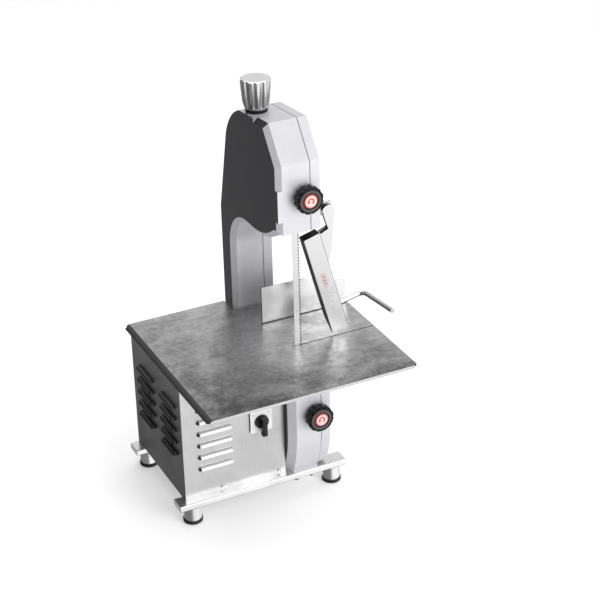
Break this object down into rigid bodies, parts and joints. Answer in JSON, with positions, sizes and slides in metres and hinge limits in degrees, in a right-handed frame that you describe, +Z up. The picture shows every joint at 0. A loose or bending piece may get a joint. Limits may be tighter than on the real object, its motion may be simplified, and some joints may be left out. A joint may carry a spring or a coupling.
{
  "type": "bone saw",
  "caption": "Table-top butcher's band saw: cast C-frame with doors, band wheels, blade, stainless table, fence, swinging pusher and motor cabinet on a footed base.",
  "frame": {"origin": "on the floor under the middle of the machine's overall box", "axes": "+Z up, +Y to the back, +X to the operator's right, away from the motor cabinet; the switch and latch knobs face -Y"},
  "size_m": [0.463, 0.4375, 0.8583],
  "materials": {
    "cast_silver": "satin silver-grey enamel on cast aluminium, charcoal flat side",
    "steel": "turned steel",
    "black_plastic": "black moulded plastic",
    "red_cap": "red printed cap",
    "polished_alloy": "bright turned aluminium",
    "chrome": "polished and satin chromed",
    "iron": "grey cast iron",
    "wheel_alloy": "machined cast aluminium",
    "bearing": "ground ring with dark shield",
    "blade_steel": "rolled band steel",
    "guide_plastic": "white acetal",
    "belt_rubber": "black ribbed rubber",
    "motor_paint": "blue-grey enamel",
    "capacitor": "black can",
    "stainless_sheet": "brushed stainless sheet",
    "switch_plate": "light grey moulded plastic",
    "stainless_bar": "bright stainless bar",
    "foot_rubber": "black rubber",
    "stainless_table": "fine brushed stainless with cloudy wear",
    "stainless_plate": "bright satin stainless plate"
  },
  "bodies": {
    "frame": {"c_frame": "cast_silver", "frame_hinge_leaves": "cast_silver", "hinge_pins": "steel", "latch_studs": "steel", "tension_collar": "black_plastic", "slide_rails": "steel", "saw_blade": "blade_steel", "upper_blade_guide": "guide_plastic", "lower_blade_guide": "guide_plastic", "blade_scrapers": "guide_plastic", "lower_bearing_housing": "iron", "lower_bearings": "bearing", "drive_belt": "belt_rubber", "motor_housing": "motor_paint", "motor_end_caps": "motor_paint", "motor_bracket": "iron", "run_capacitor": "capacitor", "front_panel": "stainless_sheet", "left_panel": "stainless_sheet", "back_panel": "stainless_sheet", "floor_panel": "stainless_sheet", "front_base_bar": "stainless_bar", "rear_base_bar": "stainless_bar", "leg_tubes": "stainless_bar", "rubber_feet": "foot_rubber", "cabinet_screws": "steel", "base_bolts": "steel", "switch_plate": "switch_plate", "cable_gland": "black_plastic", "work_table": "stainless_table", "table_supports": "guide_plastic", "fence_lock_stud": "steel"},
    "upper_door": {"upper_door": "cast_silver", "upper_door_hinges": "cast_silver", "pusher_bracket": "stainless_plate", "pusher_pin": "steel"},
    "lower_door": {"lower_door": "cast_silver", "lower_door_hinges": "cast_silver"},
    "upper_latch": {"upper_latch_knob": "black_plastic", "upper_latch_cap": "red_cap"},
    "lower_latch": {"lower_latch_knob": "black_plastic", "lower_latch_cap": "red_cap"},
    "tension_knob": {"tension_knob": "polished_alloy", "tension_screw": "steel"},
    "tension_slide": {"slide_block": "iron", "upper_axle": "steel"},
    "upper_wheel": {"upper_wheel": "wheel_alloy", "upper_bearings": "bearing"},
    "lower_wheel": {"lower_wheel": "wheel_alloy", "lower_shaft": "steel", "driven_pulley": "iron"},
    "motor_rotor": {"motor_shaft": "steel", "motor_pulley": "iron"},
    "fence": {"fence_plate": "stainless_plate", "fence_foot": "stainless_plate"},
    "fence_lock": {"fence_lock_knob": "black_plastic"},
    "pusher": {"pusher_arm": "stainless_plate", "pusher_ear": "stainless_plate", "pusher_handle": "chrome"},
    "switch_handle": {"switch_knob": "black_plastic"}
  },
  "joints": [
    {"name": "upper_door_hinge", "type": "hinge", "parent": "frame", "child": "upper_door", "pos_m": [0.10495, 0.21425, 0.4], "axis": [0, 0, 1], "range_deg": [0, 110]},
    {"name": "lower_door_hinge", "type": "hinge", "parent": "frame", "child": "lower_door", "pos_m": [0.10495, 0.21425, 0.18], "axis": [0, 0, 1], "range_deg": [0, 110]},
    {"name": "upper_latch_turn", "type": "hinge", "parent": "frame", "child": "upper_latch", "pos_m": [0.06745, -0.07975, 0.656], "axis": [0, -1, 0], "range_deg": [0, 540]},
    {"name": "lower_latch_turn", "type": "hinge", "parent": "frame", "child": "lower_latch", "pos_m": [0.06745, -0.10875, 0.187], "axis": [0, -1, 0], "range_deg": [0, 540]},
    {"name": "tension_turn", "type": "hinge", "parent": "frame", "child": "tension_knob", "pos_m": [0.03345, 0.0663, 0.7973], "axis": [0, 0, 1], "range_deg": [0, 1081]},
    {"name": "tension_travel", "type": "slide", "parent": "frame", "child": "tension_slide", "axis": [0, 0, 1], "range_m": [-0.009, 0]},
    {"name": "upper_wheel_spin", "type": "hinge", "parent": "tension_slide", "child": "upper_wheel", "pos_m": [0.04745, 0.0663, 0.663], "axis": [1, 0, 0], "continuous": true},
    {"name": "lower_wheel_spin", "type": "hinge", "parent": "frame", "child": "lower_wheel", "pos_m": [0.04745, 0.0663, 0.163], "axis": [1, 0, 0], "continuous": true},
    {"name": "motor_spin", "type": "hinge", "parent": "frame", "child": "motor_rotor", "pos_m": [-0.02655, 0.01625, 0.118], "axis": [1, 0, 0], "continuous": true},
    {"name": "fence_travel", "type": "slide", "parent": "frame", "child": "fence", "axis": [0, 1, 0], "range_m": [-0.086, 0.008]},
    {"name": "fence_lock_turn", "type": "hinge", "parent": "frame", "child": "fence_lock", "pos_m": [0.14145, 0.10425, 0.329], "axis": [0, 0, 1], "range_deg": [0, 270]},
    {"name": "pusher_swing", "type": "hinge", "parent": "upper_door", "child": "pusher", "pos_m": [0.14495, -0.01175, 0.587], "axis": [0, 1, 0], "range_deg": [-75, 8]},
    {"name": "switch_turn", "type": "hinge", "parent": "frame", "child": "switch_handle", "pos_m": [-0.04255, -0.07875, 0.189], "axis": [0, -1, 0], "range_deg": [0, 90]}
  ],
  "couplings": [
    {"joint": "tension_turn", "follows": "tension_travel", "rad_per_m": -2094.4},
    {"joint": "upper_wheel_spin", "follows": "lower_wheel_spin", "ratio": 1},
    {"joint": "motor_spin", "follows": "lower_wheel_spin", "ratio": 2}
  ]
}
